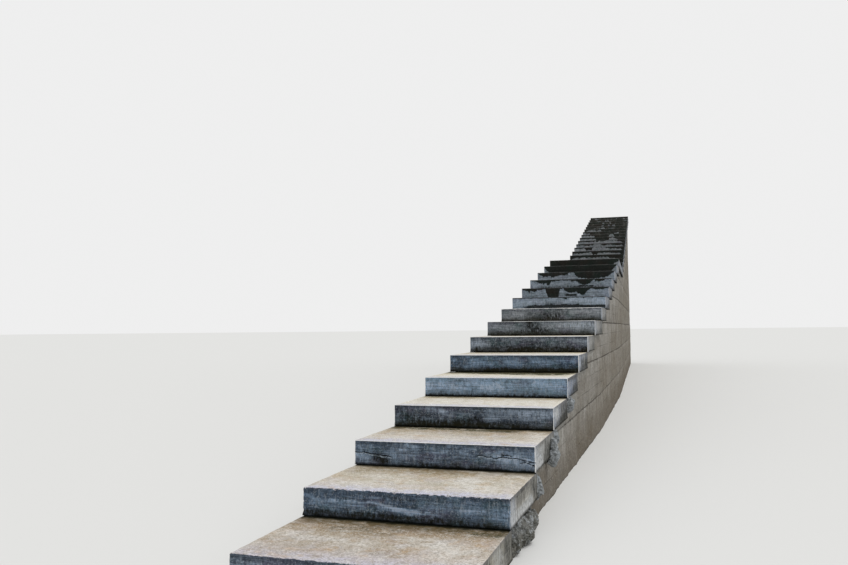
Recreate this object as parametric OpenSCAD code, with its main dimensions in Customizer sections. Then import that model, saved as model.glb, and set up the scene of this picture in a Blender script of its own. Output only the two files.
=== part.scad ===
// Long outdoor stair of separately cast concrete steps, with a landing and a gently bending path

/* [Steps] */
// Width of the stair, end face to end face of a step
stair_w = 1200; // [900:10:1600]
// Height of a riser in the lower flight
lower_rise = 160; // [130:1:190]
// Depth of a tread in the lower flight, nose to nose
lower_going = 760; // [600:10:900]
// Height of a riser in the upper flight
upper_rise = 150; // [130:1:190]
// Depth of a tread in the upper flight, nose to nose
upper_going = 620; // [450:10:800]
// How far a block runs back under the front of the next one
bearing = 40; // [30:1:60]
// Radius of the worn arris along the nose and the two ends
arris_r = 8; // [4:1:14]
// Height of the lowest form board, which leaves a line across the riser and the ends
form_board = 78; // [60:1:100]
// Width of that line
board_line_w = 5; // [3:0.5:8]
// Depth of that line
board_line_d = 2.5; // [1:0.5:4]

/* [Landing] */
// Depth of the landing, from its nose to the first riser above it
landing_going = 2870; // [2200:10:3600]
// Open joint between two slabs of the landing
slab_joint = 8; // [4:1:15]

/* [Path] */
// Turn of the path to the left half way up the lower flight, degrees
middle_turn = 1.25; // [0.5:0.05:1.5]
// Further turn to the left at the landing, degrees
landing_turn = 1.15; // [0.5:0.05:1.5]

/* [Foundation] */
// Thickness of the walls under the two ends of the steps
wall_t = 250; // [180:10:320]
// How far the walls stand in from the ends of the steps
wall_inset = 40; // [20:1:80]
// Gap behind a block, to the step of the wall that carries the next block
back_gap = 25; // [20:1:40]

/* [Hidden] */
lower_steps = 15;
upper_steps = 16;
landing_slabs = 3;
// First step beyond the turn in the lower flight
middle_step = 9;
step_count = lower_steps + upper_steps;
// Facets along the worn arris
arris_facets = 3;
// Reach of the cutting planes at a mitre, past both ends of the stair
mitre_reach = 2 * (lower_steps * lower_going + landing_going + upper_steps * upper_going);
mitre_spare = 30;
// Place in a tread behind which the wall steps up
seat_back = bearing + back_gap;
wall_face = stair_w / 2 - wall_inset;
// Turn of each lower step on its bed, in degrees, from the foot up
bed_turn = [0, -0.3, 0.4, 0.7, 1.3, 0.7, 1.2, -0.4, -0.3, -0.3, 0, 0.4, 0.2, 0, 0.2];
// Concrete that ran out under the forms, for each step from the foot up: how far back from its nose and
// below its tread a lump's middle lies, half its width, half its height, and how proud of the end it stands
spills = [
    [],
    [[130, 265, 100, 95, 40], [330, 250, 150, 102, 70], [545, 255, 120, 96, 50], [695, 268, 80, 84, 30]],
    [[95, 262, 54, 88, 24], [640, 130, 40, 92, 44]],
    [[95, 212, 46, 62, 16]],
    [[95, 205, 48, 54, 26]]
];
spill_bands = 10;

function two_digits(n) = n < 10 ? str("0", n) : str(n);
function step_name(n) = str("step_", two_digits(n));
function slab_name(i) = str("landing_slab_", i);

// Layout of the path, counted in steps from the foot
function heading(n) =
    n < middle_step ? 0 : n < lower_steps ? middle_turn : middle_turn + landing_turn;
function going(n) =
    n < lower_steps ? lower_going : n == lower_steps ? landing_going : upper_going;
function rise(n) = n <= lower_steps ? lower_rise : upper_rise;
function level(n) =
    min(n, lower_steps) * lower_rise + max(0, n - lower_steps) * upper_rise;
function seat(n) = level(n - 1);
function turn_on_bed(n) = n <= len(bed_turn) ? bed_turn[n - 1] : 0;
function block_depth(n) = n == lower_steps ? lower_going : going(n) + bearing;
function nose(n) =
    n <= 1 ? [0, -block_depth(1) / 2]
    : nose(n - 1) + going(n - 1) * [-sin(heading(n - 1)), cos(heading(n - 1))];
// Distance along a straight length of the path from the nose of one step to that of another
function along(first, n) = n <= first ? 0 : going(n - 1) + along(first, n - 1);

// Frame of the path at a step: nose at y = 0, uphill along +Y, ground at z = 0
module at_step(n) {
    place = nose(n);
    translate([place[0], place[1], 0])
        rotate([0, 0, heading(n)])
            children();
}

// Points of a worn arris at the top of an upright edge at x = 0, solid on the +x side
function arris(height) =
    [for (i = [0 : arris_facets])
        let (a = 90 * i / arris_facets)
        [arris_r * (1 - cos(a)), height - arris_r * (1 - sin(a))]];
// Points of the upright edge below it, with the line between two form boards
function formed_edge() = [
    [0, 0],
    [0, form_board - board_line_w / 2],
    [board_line_d, form_board],
    [0, form_board + board_line_w / 2]
];
function mirrored(points, width) =
    [for (i = [len(points) - 1 : -1 : 0]) [width - points[i][0], points[i][1]]];

// Section of a block along the path, with the nose at the front
module block_section(depth, height) {
    polygon(concat(formed_edge(), arris(height), [[depth, height], [depth, 0]]));
}

// Section of a block across the path, formed at both ends
module block_face(width, height) {
    edge = concat(formed_edge(), arris(height));
    polygon(concat(edge, mirrored(edge, width)));
}

// One cast block with its nose on x = 0, y = 0
module block(depth, height) {
    translate([-stair_w / 2, 0, 0])
        intersection() {
            rotate([90, 0, 90])
                linear_extrude(stair_w)
                    block_section(depth, height);
            translate([0, depth, 0])
                rotate([90, 0, 0])
                    linear_extrude(depth)
                        block_face(stair_w, height);
        }
}

// Plain box around one block of the flight, on its own bed
module block_box(n) {
    at_step(n)
        translate([0, 0, seat(n)])
            rotate([0, 0, turn_on_bed(n)])
                translate([-stair_w / 2, 0, 0])
                    cube([stair_w, block_depth(n), rise(n)]);
}

module step(n) {
    color("#8f8f8b")
        at_step(n)
            translate([0, 0, seat(n)])
                rotate([0, 0, turn_on_bed(n)])
                    block(block_depth(n), rise(n));
}

// Slabs fill the landing behind its first block, and the last one carries the upper flight
module landing_slab(i) {
    slab_pitch = (landing_going - lower_going) / landing_slabs;
    tail = i == landing_slabs ? bearing : 0;
    color("#96948e")
        at_step(lower_steps)
            translate([0, lower_going + slab_pitch * (i - 1) + slab_joint, seat(lower_steps)])
                block(slab_pitch - slab_joint + tail, lower_rise);
}

// Stepped outline of a wall that carries the steps from first to last on a straight length
module wall_outline(first, last, start, end) {
    tops = [for (n = [first : last], k = [0, 1])
        let (reach = k == 0 ? along(first, n) : along(first, n + 1))
        [n == first && k == 0 ? start : n == last && k == 1 ? end : reach + seat_back, seat(n)]];
    polygon(concat([[start, 0]], tops, [[end, 0]]));
}

// Keeps what lies beyond a plane across the path, turned by a share of the bend there
module beyond(y, turn) {
    translate([0, y, 0])
        rotate([0, 0, turn])
            translate([-mitre_reach / 2, 0, 0])
                cube([mitre_reach, mitre_reach, mitre_reach]);
}

// One length of wall, mitred to its neighbours where the path bends
module wall_length(first, last, side) {
    bend_in = heading(first) - heading(first - 1);
    bend_out = last == step_count ? 0 : heading(last + 1) - heading(last);
    start = seat_back - (bend_in == 0 ? 0 : mitre_spare);
    finish = along(first, last + 1) + (last == step_count ? bearing : seat_back);
    end = finish + (bend_out == 0 ? 0 : mitre_spare);
    inner = side > 0 ? wall_face - wall_t : -wall_face;
    color("#7c7a74")
        at_step(first)
            difference() {
                intersection() {
                    translate([inner, 0, 0])
                        rotate([90, 0, 90])
                            linear_extrude(wall_t)
                                wall_outline(first, last, start, end);
                    beyond(seat_back, -bend_in / 2);
                }
                beyond(finish, bend_out / 2);
            }
}

module lower_wall(side) {
    wall_length(2, middle_step - 1, side);
}

module middle_wall(side) {
    wall_length(middle_step, lower_steps - 1, side);
}

module landing_wall(side) {
    wall_length(lower_steps, lower_steps, side);
}

module upper_wall(side) {
    wall_length(lower_steps + 1, step_count, side);
}

// Wall across the stair that ties the two side walls and ends at a place behind a step's nose
module cross_wall(n, finish) {
    clear_w = 2 * (wall_face - wall_t);
    color("#777570")
        at_step(n)
            translate([-clear_w / 2, finish - wall_t, 0])
                cube([clear_w, wall_t, seat(n)]);
}

module landing_cross_wall() {
    cross_wall(lower_steps, landing_going + seat_back);
}

module back_wall() {
    cross_wall(step_count, upper_going + bearing);
}

// Half the outline of an upright lump, round its middle
function lump_outline(half_width, half_height) =
    [for (i = [0 : spill_bands])
        let (a = 180 * i / spill_bands - 90)
        [half_width * cos(a), half_height * sin(a)]];

// One lump beside a step, trimmed by the wall and the blocks that it set against
module spill(n, back, below, half_width, half_height, proud) {
    difference() {
        at_step(n)
            intersection() {
                translate([stair_w / 2 + proud - half_width, back, level(n) - below])
                    rotate_extrude($fn = 48)
                        polygon(lump_outline(half_width, half_height));
                translate([wall_face, back - half_width, 0])
                    cube([half_width + proud, 2 * half_width, level(n)]);
            }
        for (near = [n - 1 : n + 1])
            block_box(near);
    }
}

module spilled_concrete() {
    color("#85837c")
        for (n = [1 : len(spills)], s = spills[n - 1])
            spill(n, s[0], s[1], s[2], s[3], s[4]);
}

for (n = [1 : step_count])
    step(n);
for (i = [1 : landing_slabs])
    landing_slab(i);
lower_wall(-1);  // lower_wall_left
lower_wall(1);  // lower_wall_right
middle_wall(-1);  // middle_wall_left
middle_wall(1);  // middle_wall_right
landing_wall(-1);  // landing_wall_left
landing_wall(1);  // landing_wall_right
upper_wall(-1);  // upper_wall_left
upper_wall(1);  // upper_wall_right
landing_cross_wall();
back_wall();
spilled_concrete();
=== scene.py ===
import math
import random
from functools import partial

import bmesh
import bpy
import numpy as np
from mathutils import Matrix, Vector, noise


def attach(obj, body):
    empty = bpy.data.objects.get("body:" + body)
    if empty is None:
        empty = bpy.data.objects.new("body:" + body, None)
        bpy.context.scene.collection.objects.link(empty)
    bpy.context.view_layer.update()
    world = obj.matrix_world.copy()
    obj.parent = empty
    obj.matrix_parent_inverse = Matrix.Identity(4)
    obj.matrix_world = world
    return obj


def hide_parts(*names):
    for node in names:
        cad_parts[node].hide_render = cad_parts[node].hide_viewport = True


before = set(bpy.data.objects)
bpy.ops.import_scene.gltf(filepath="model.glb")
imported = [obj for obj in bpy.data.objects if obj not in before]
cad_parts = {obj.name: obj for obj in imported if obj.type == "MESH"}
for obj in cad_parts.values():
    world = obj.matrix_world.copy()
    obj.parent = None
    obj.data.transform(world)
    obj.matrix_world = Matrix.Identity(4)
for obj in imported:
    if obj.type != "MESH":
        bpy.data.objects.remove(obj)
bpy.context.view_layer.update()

# Sizes of the stair, in metres, as the solids have them
STEP_WIDTH = 1.2
LOWER_RISE = 0.16
LOWER_GOING = 0.76
UPPER_RISE = 0.15
UPPER_GOING = 0.62
LANDING_GOING = 2.87
BEARING = 0.04
SLAB_JOINT = 0.008
ARRIS = 0.008
BOARD_LINE = 0.078
SEAT_BACK = 0.065

LOWER_STEPS = 15
UPPER_STEPS = 16
STEP_COUNT = LOWER_STEPS + UPPER_STEPS
LANDING_SLABS = 3
MIDDLE_STEP = 9

# Turns of the path to the left at two of its steps, and of each lower block on its bed, in degrees
MIDDLE_TURN = 1.25
LANDING_TURN = 1.15
BED_TURN = [0, -0.3, 0.4, 0.7, 1.3, 0.7, 1.2, -0.4, -0.3, -0.3, 0, 0.4, 0.2, 0, 0.2]

# How each block came out, each from 0 to 1: tone of its formed faces and of its tread, and how blue the
# painted open-sky shade on its front is; then how worn its nose is, how blue the painted open-sky shade on
# its ends is, and how dark the foot of its riser stays with damp and painted shade
CASTING = {
    1: ((0.30, 0.30, 0.60), (0.45, 0.00, 0.8)),
    2: ((0.26, 0.58, 0.95), (1.00, 0.10, 0.55)),
    3: ((0.28, 0.48, 0.85), (0.12, 0.25, 0.5)),
    4: ((0.16, 0.98, 0.65), (0.10, 0.55, 0.9)),
    5: ((0.97, 1.00, 0.95), (0.08, 1.00, 0.6)),
    6: ((0.26, 0.94, 1.00), (0.08, 0.70, 1.0)),
    7: ((0.08, 1.00, 0.45), (0.08, 0.30, 0.9)),
    8: ((0.44, 0.98, 0.30), (0.08, 0.40, 1.0)),
    9: ((0.45, 0.90, 0.22), (0.08, 0.40, 1.0)),
    10: ((1.00, 0.60, 0.60), (0.10, 0.70, 0.0)),
    11: ((0.92, 0.50, 0.55), (0.10, 0.70, 0.0)),
    12: ((0.90, 0.45, 0.50), (0.10, 0.70, 0.3)),
    13: ((0.92, 0.35, 0.45), (0.10, 0.60, 0.0)),
    14: ((0.85, 0.25, 0.30), (0.10, 0.50, 0.0)),
    15: ((0.80, 0.25, 0.20), (0.25, 0.50, 0.0)),
}

# How strong the pale line along the arris of a nose is, by step: worn mortar with a painted highlight
PALE_NOSE = {1: 0.5, 2: 0.25, 3: 0.9, 4: 0.9, 5: 1.0, 6: 0.9, 7: 1.0, 8: 1.0, 9: 1.0}

# Pale lime and dark damp on a riser, as strokes: across and up at both ends, half width, all in mm, and
# strength, above 0 for lime and below 0 for damp; the dark strokes along the foot are painted shade as well
STROKES = {
    2: [(-600, 116, -560, 114, 6, 1.0), (-430, 96, -380, 92, 5, 1.5), (-340, 98, -210, 90, 5, 1.0),
        (-200, 99, -150, 92, 4, 2.2), (-150, 90, -104, 86, 3, 3.4), (-96, 82, -60, 80, 4, 3.8),
        (-66, 76, -20, 70, 5, 3.0), (-50, 66, -10, 64, 4, 3.8), (-4, 70, 40, 60, 5, 2.6),
        (52, 64, 96, 58, 4, 3.0), (104, 56, 160, 60, 4, 2.4), (-130, 72, 90, 54, 17, 1.0),
        (-540, 84, -260, 76, 22, 0.7), (330, 84, 460, 86, 7, 1.1), (520, 40, 590, 36, 22, 0.6),
        (120, 92, 590, 84, 22, 0.6), (-600, 22, -60, 26, 18, -0.9), (-60, 30, 560, 14, 13, -0.9),
        (-100, 122, 100, 116, 18, -0.4), (380, 54, 560, 54, 24, 0.3), (10, 48, 60, 44, 4, 2.0)],
    3: [(-600, 52, -500, 40, 22, 1.4), (-240, 144, -170, 128, 12, 1.4), (-330, 70, -180, 60, 34, 0.8),
        (-290, 108, -230, 104, 4, 1.6), (-60, 100, 40, 104, 4, 1.4), (120, 104, 170, 100, 4, 1.5),
        (330, 90, 480, 84, 13, 1.2), (380, 60, 600, 44, 22, 1.1), (480, 90, 590, 64, 9, 1.1),
        (-450, 50, -380, 30, 22, -1.1), (-150, 100, -130, 30, 22, -0.5), (0, 100, 180, 90, 26, 0.4),
        (-600, 130, -480, 120, 20, 0.3), (-130, 8, 300, 12, 16, -0.7), (380, 108, 600, 106, 26, 0.45),
        (220, 56, 600, 56, 22, 0.25), (400, 12, 600, 14, 18, 0.6), (-270, 54, -200, 54, 28, -0.3)],
    4: [(-330, 132, -230, 118, 20, 1.0), (-236, 116, -180, 116, 6, 1.6), (120, 126, 590, 118, 24, 0.8),
        (160, 90, 560, 84, 20, 0.5), (-100, 46, 60, 60, 26, -0.9), (60, 30, 420, 20, 20, -0.8),
        (-600, 100, -420, 60, 50, -0.5), (100, 66, 190, 72, 14, 0.9), (-420, 30, -200, 22, 20, -0.7),
        (-560, 12, 100, 14, 20, -0.6), (-480, 54, -160, 54, 28, -0.3), (360, 104, 600, 104, 28, 0.5),
        (180, 100, 280, 100, 26, -0.25)],
    5: [(-190, 112, 20, 84, 34, 1.1), (-560, 90, -260, 60, 34, 1.3), (340, 110, 540, 90, 30, 1.4),
        (-110, 70, 60, 64, 20, 1.2), (-590, 90, -570, 60, 22, 1.3), (40, 90, 300, 76, 22, 0.5),
        (-196, 110, -186, 30, 5, -1.2), (-20, 140, 100, 130, 10, -0.5), (290, 100, 330, 20, 16, -0.7),
        (570, 140, 590, 30, 26, -0.4), (-600, 10, 600, 9, 11, -1.2), (-460, 104, 280, 104, 26, 0.4),
        (200, 24, 600, 24, 14, 0.3)],
    6: [(-380, 96, -200, 72, 24, 0.9), (-60, 96, 60, 80, 24, 1.0), (180, 104, 330, 84, 26, 1.0),
        (400, 110, 480, 96, 20, 0.7), (440, 70, 560, 60, 20, -0.5), (-240, 14, 600, 16, 17, -1.6),
        (-600, 10, -240, 12, 10, -0.9), (-600, 100, -480, 60, 30, -0.3), (300, 56, 420, 44, 14, 0.3),
        (-460, 60, -330, 58, 26, 0.7), (-260, 12, 460, 12, 18, -0.4), (340, 52, 440, 52, 22, -0.3)],
    7: [(-590, 100, -430, 88, 30, 1.2), (-590, 60, -470, 50, 20, 0.8), (-531, 40, -527, 18, 9, -3.0),
        (-200, 22, 600, 20, 20, -1.0), (380, 116, 580, 104, 24, 0.8), (-200, 130, 340, 126, 18, 0.5),
        (20, 90, 60, 70, 30, -0.4), (-440, 54, 440, 52, 26, -0.45), (340, 104, 430, 104, 26, -0.4)],
    8: [(-560, 90, -300, 78, 28, 0.8), (60, 118, 570, 100, 36, 1.3), (-120, 120, 0, 50, 40, -0.4),
        (-600, 10, 600, 12, 16, -0.5), (-560, 54, 80, 52, 28, -0.55), (-120, 104, 130, 100, 26, -0.5),
        (-460, 146, 120, 146, 16, -0.45), (340, 146, 590, 146, 14, 0.35), (340, 104, 440, 104, 24, 0.3)],
    9: [(-460, 12, 500, 14, 16, -0.6), (-440, 96, -330, 86, 28, 0.9), (250, 114, 560, 100, 34, 0.9),
        (-600, 80, -480, 60, 40, 0.6), (-260, 90, -200, 60, 26, -0.4), (-120, 54, 130, 52, 30, -0.7),
        (-120, 104, 130, 100, 26, -0.4), (-120, 146, 130, 146, 14, -0.3), (500, 146, 590, 146, 12, 0.35)],
    10: [(-430, 104, 590, 104, 34, 0.35), (-600, 22, -380, 28, 6, -3.0), (-390, 32, 590, 34, 8, -6.0),
         (-300, 40, 200, 40, 9, -4.0), (-330, 46, -290, 46, 7, -4.0), (-160, 46, 120, 48, 6, -2.0),
         (226, 50, 252, 52, 7, -3.0), (-600, 96, -480, 76, 34, 0.9), (-280, 64, -190, 64, 24, -0.4),
         (40, 64, 270, 64, 22, -0.3), (500, 64, 590, 64, 24, 0.4), (150, 110, 560, 90, 40, 1.2),
         (-380, 96, -200, 84, 30, 1.1), (-130, 130, -80, 80, 22, -0.4), (-40, 96, 60, 84, 30, 0.5),
         (-320, 60, 300, 60, 18, -0.5)],
    11: [(-560, 60, -300, 60, 30, 0.2), (20, 54, 160, 50, 9, -3.0), (60, 74, 190, 58, 7, 1.8),
         (190, 56, 260, 40, 6, 1.6), (330, 44, 400, 40, 6, 4.0), (-60, 110, -20, 60, 30, 0.6),
         (380, 90, 580, 80, 34, 0.7), (-420, 66, -300, 60, 26, -0.4), (-80, 62, 260, 60, 18, -0.6)],
    12: [(-430, 104, -290, 104, 26, 1.0), (-420, 14, 380, 14, 14, -0.6), (150, 43, 240, 42, 5, 4.5),
         (230, 43, 340, 43, 4, 2.6), (120, 56, 330, 54, 4, -2.0), (-540, 70, -480, 60, 30, 0.9),
         (440, 90, 600, 80, 40, 0.5), (230, 78, 330, 72, 14, 0.8), (-460, 50, 460, 50, 22, -0.45),
         (-460, 14, 500, 14, 18, -1.0), (340, 104, 430, 104, 22, -0.4), (430, 148, 590, 148, 12, -0.6)],
    13: [(-560, 50, -120, 46, 14, 0.5), (-80, 100, -20, 60, 34, 0.6), (40, 30, 130, 28, 7, 2.6),
         (220, 28, 340, 26, 6, 2.2), (360, 34, 480, 38, 5, 1.4), (540, 90, 590, 70, 30, 0.7),
         (150, 18, 440, 16, 12, -0.8), (-430, 60, -340, 56, 20, -0.4)],
}

# What weather and feet have left on a tread, as strokes: across and back from the nose at both ends, half
# width, all in mm, and strength, above 0 where it is bleached, with painted light towards the nose, and below
# 0 where dirt lies, with painted shade towards the back
TREAD_STROKES = {
    1: [(160, 480, 440, 350, 80, 1.1), (400, 200, 560, 120, 90, 0.8), (-530, 440, -360, 360, 70, 0.8),
        (-240, 370, -40, 320, 50, 0.8), (-340, 600, 540, 640, 70, -0.6), (-290, 560, 60, 520, 60, -0.5),
        (440, 680, 590, 660, 40, -0.9), (-560, 110, -300, 60, 40, -0.3), (60, 200, 220, 160, 50, -0.4),
        (-500, 700, 560, 700, 40, -0.6)],
    2: [(240, 440, 400, 180, 80, 1.5), (-460, 200, -60, 80, 90, 0.8), (-360, 440, -130, 380, 60, 0.6),
        (-460, 640, 180, 620, 60, -0.7), (-520, 520, -430, 480, 60, -0.3), (60, 330, 160, 260, 50, -0.3),
        (440, 120, 580, 90, 60, 0.6), (300, 640, 590, 600, 90, 0.7), (480, 420, 580, 300, 70, 0.6),
        (-520, 700, 590, 700, 50, 0.5)],
    3: [(-560, 690, 300, 680, 70, -1.5), (200, 640, 400, 600, 50, -0.5), (460, 640, 590, 540, 60, 0.9),
        (-50, 560, 150, 420, 50, -0.5), (530, 480, 590, 120, 50, 1.3), (-560, 170, 560, 140, 120, 0.9),
        (-400, 420, -150, 380, 70, 0.3)],
    4: [(-500, 680, -180, 670, 50, -1.6), (-560, 380, 560, 320, 220, 1.7)],
    5: [(-260, 720, 440, 640, 130, -3.0), (0, 500, 420, 460, 80, -1.2), (-540, 700, -230, 640, 90, -1.8),
        (-560, 230, 560, 170, 120, 1.2), (200, 330, 500, 310, 60, -0.4)],
    6: [(-520, 680, -260, 640, 80, -1.2), (-560, 260, 560, 240, 190, 0.7), (0, 600, 400, 560, 120, 0.4)],
    7: [(-560, 200, 560, 180, 150, 1.0)],
    8: [(-560, 200, 560, 180, 150, 0.9)],
    9: [(-560, 120, -180, 120, 120, 1.0)],
}

# Lime and damp on the right end of a block, as on a riser: back from the nose and up; the dark strokes low
# down towards the back are painted shadow as well as damp
END_STROKES = {
    1: [(0, 90, 220, 70, 90, -1.0), (420, 110, 560, 70, 50, 0.6), (640, 110, 740, 60, 50, -0.8)],
    2: [(40, 110, 90, 60, 40, 0.5), (0, 24, 620, 26, 34, 1.6), (180, 40, 300, 24, 26, 0.4),
        (20, 152, 480, 150, 12, -0.8), (640, 120, 740, 60, 46, -0.9), (140, 124, 520, 120, 26, -0.5),
        (180, 86, 400, 84, 20, -0.3)],
    3: [(10, 120, 50, 40, 40, 0.9), (0, 20, 230, 18, 38, 1.7), (100, 84, 320, 116, 34, 0.7),
        (180, 40, 330, 36, 30, 0.6), (430, 100, 560, 60, 34, -1.2), (370, 30, 620, 20, 34, -1.8),
        (690, 80, 750, 40, 36, 1.5), (120, 140, 420, 148, 12, -0.4)],
    4: [(20, 120, 220, 110, 40, 1.3), (440, 110, 740, 90, 50, -0.8), (340, 22, 740, 22, 28, -1.8),
        (180, 130, 360, 120, 20, -0.3)],
    5: [(0, 142, 740, 140, 14, -1.1), (420, 60, 740, 70, 50, -0.8), (20, 60, 100, 50, 30, 0.4)],
    6: [(20, 90, 60, 70, 50, 0.4), (260, 70, 740, 60, 40, -1.2)],
}

# Cracks along a form board line: millimetres across and up
CRACKS = {
    3: [[(-600, 82), (-560, 80), (-530, 83), (-480, 71), (-452, 73), (-400, 62), (-372, 64), (-340, 58)],
        [(228, 86), (262, 90), (300, 82), (322, 84), (345, 72), (372, 82), (395, 86), (450, 79), (480, 81),
         (520, 72), (560, 66), (600, 56)],
        [(384, 104), (402, 98), (430, 100), (446, 92)],
        [(500, 50), (530, 58), (552, 54), (572, 44), (590, 40)]],
}

# Black water marks below a nose: millimetres across from the middle, and the percentage of the riser that
# they cover there
WATER_MARKS = {
    10: {-600: 5, -420: 5, -400: 2, -220: 4, -60: 4, -30: 10, 0: 2, 50: 4, 62: 20, 108: 20, 118: 3, 300: 2,
         600: 2},
    11: {-600: 6, -560: 16, -500: 30, -420: 32, -330: 18, -262: 22, -240: 70, -216: 120, -90: 120, -74: 18,
         -10: 18, 20: 36, 60: 50, 110: 50, 145: 38, 170: 46, 205: 64, 240: 76, 270: 68, 305: 46, 345: 20,
         380: 14, 430: 28, 520: 30, 560: 8, 600: 0},
    12: {-600: 6, -500: 16, -470: 36, -420: 42, -360: 36, -340: 56, -310: 48, -280: 20, -100: 12, 50: 18,
         90: 28, 130: 38, 170: 56, 230: 60, 275: 44, 325: 20, 350: 14, 364: 44, 384: 20, 420: 26, 480: 24,
         540: 8, 600: 6},
    13: {-600: 5, -560: 24, -510: 42, -350: 46, -310: 52, -260: 34, -130: 30, -100: 10, -60: 4, -30: 8,
         0: 34, 60: 56, 120: 70, 250: 74, 380: 70, 460: 60, 530: 38, 585: 16, 600: 5},
    14: {-600: 20, -550: 50, -480: 90, -420: 120, 440: 120, 500: 86, 545: 40, 600: 16},
    15: {-600: 70, -560: 120, 440: 120, 490: 80, 540: 40, 600: 30},
    18: {-600: 90, -560: 60, -500: 42, -60: 44, 0: 50, 50: 42, 260: 44, 300: 60, 600: 90},
    19: {-600: 90, -560: 42, -320: 40, -290: 30, -140: 32, -110: 75, -75: 52, -50: 50, -30: 75, 0: 36,
         180: 34, 200: 42, 500: 44, 530: 70, 600: 90},
    20: {-600: 40, -560: 26, -340: 24, -310: 50, -180: 48, -160: 10, -120: 2, 120: 2, 160: 22, 250: 34,
         500: 36, 540: 60, 600: 80},
    21: {-600: 40, -560: 26, -440: 24, -400: 32, -190: 30, -160: 12, -100: 3, -60: 3, 0: 10, 30: 36,
         110: 36, 150: 28, 300: 30, 340: 40, 520: 42, 560: 80, 600: 90},
    22: {-600: 40, -560: 30, -520: 26, -260: 28, -220: 30, -80: 26, -50: 8, -20: 22, 60: 30, 100: 14,
         160: 8, 380: 16, 420: 36, 500: 38, 540: 80, 600: 90},
    23: {-600: 40, -580: 30, -400: 30, -370: 42, -340: 28, -180: 32, -150: 90, -20: 90, 0: 50, 30: 90,
         70: 90, 95: 50, 120: 90, 160: 50, 190: 12, 215: 35, 240: 12, 290: 20, 330: 40, 380: 50, 420: 90,
         600: 90},
    24: {-600: 40, -580: 30, -400: 30, -385: 42, -365: 30, -250: 32, -220: 90, 110: 90, 140: 40, 180: 4,
         240: 2, 280: 30, 310: 90, 410: 90, 420: 50, 440: 50, 460: 90, 600: 90},
    25: {-600: 40, -540: 32, -480: 45, -400: 36, -370: 90, 80: 90, 100: 50, 130: 90, 250: 90, 270: 38,
         390: 36, 410: 90, 600: 90},
    26: {-600: 90, -550: 50, -520: 42, -420: 34, -390: 24, -280: 26, -250: 60, -210: 28, -170: 22, -120: 30,
         -90: 90, 600: 90},
    27: {-600: 90, -420: 60, -320: 50, -160: 45, -120: 28, -60: 26, -30: 60, 90: 48, 240: 48, 270: 90,
         600: 90},
    28: {-600: 90, -190: 90, -170: 34, -110: 32, -90: 90, 10: 90, 30: 24, 80: 22, 100: 90, 140: 90, 160: 26,
         230: 28, 250: 90, 600: 90},
    29: {-600: 90, -190: 90, -170: 30, -110: 30, -90: 90, 50: 90, 60: 36, 90: 34, 110: 90, 600: 90},
}

# Mesh rows of a block, across, back and up, for the steps as far as each of these
ROWS = {4: (240, 34, 28), 8: (180, 26, 18), LOWER_STEPS: (120, 18, 14), STEP_COUNT: (70, 14, 12)}

# Width of the rough boards that the walls were cast against, height of one lift of concrete, and how far
# above and below its middle a joint between two lifts is sunk
SHUTTER_BOARD = 0.14
LIFT = 0.42
JOINT_REACH = 0.014

# Kinds of node that are used many times
MATH = "ShaderNodeMath"
VECTORS = "ShaderNodeVectorMath"
NOISE = "ShaderNodeTexNoise"
RANGE = "ShaderNodeMapRange"
MIX = "ShaderNodeMix"
PARTS = "ShaderNodeSeparateXYZ"
JOINED = "ShaderNodeCombineXYZ"
ATTRIBUTE = "ShaderNodeAttribute"


def srgb(code):
    """Linear colour for a written sRGB hex value."""
    parts = [int(code[i:i + 2], 16) / 255 for i in (1, 3, 5)]
    linear = [p / 12.92 if p <= 0.04045 else ((p + 0.055) / 1.055) ** 2.4 for p in parts]
    return (*linear, 1.0)


def add(tree, kind, feeds=None, operation=None, **settings):
    """Adds a node. Each feed is a value, a hex colour, a node for its first live output, or a node and the
    name of an output."""
    made = tree.nodes.new(kind)
    if operation:
        made.operation = operation
    for name, value in settings.items():
        setattr(made, name, value)
    for key, feed in (feeds or {}).items():
        by_place = isinstance(key, int)
        socket = made.inputs[key] if by_place else next(s for s in made.inputs if s.name == key and s.enabled)
        if isinstance(feed, bpy.types.Node):
            tree.links.new(next(s for s in feed.outputs if s.enabled), socket)
        elif isinstance(feed, tuple) and isinstance(feed[0], bpy.types.Node):
            tree.links.new(feed[0].outputs[feed[1]], socket)
        else:
            is_colour = isinstance(feed, str) and feed.startswith("#")
            socket.default_value = srgb(feed) if is_colour else feed
    return made


def cleared(owner):
    """The emptied node tree of a material or a world."""
    owner.use_nodes = True
    owner.node_tree.nodes.clear()
    return owner.node_tree


# The path of the stair

def heading(n):
    """Direction of the path at a step, in radians to the left of +Y."""
    if n < MIDDLE_STEP:
        return 0.0
    return math.radians(MIDDLE_TURN if n < LOWER_STEPS else MIDDLE_TURN + LANDING_TURN)


def going(n):
    if n == LOWER_STEPS:
        return LANDING_GOING
    return LOWER_GOING if n < LOWER_STEPS else UPPER_GOING


def rise(n):
    return LOWER_RISE if n <= LOWER_STEPS else UPPER_RISE


def level(n):
    return min(n, LOWER_STEPS) * LOWER_RISE + max(0, n - LOWER_STEPS) * UPPER_RISE


def nose_places():
    """Middle of each nose, seen from above, from the foot of the stair up."""
    places = [Vector((0, -(LOWER_GOING + BEARING) / 2, 0))]
    for n in range(1, STEP_COUNT):
        ahead = Vector((-math.sin(heading(n)), math.cos(heading(n)), 0))
        places.append(places[-1] + going(n) * ahead)
    return places


NOSES = nose_places()


def at_step(n):
    """Frame of the path at a step: nose at y = 0, uphill along +Y, foot of the stair at z = 0."""
    return Matrix.Translation(NOSES[n - 1]) @ Matrix.Rotation(heading(n), 4, "Z")


# Masks and coats that the concrete materials are made of

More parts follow.
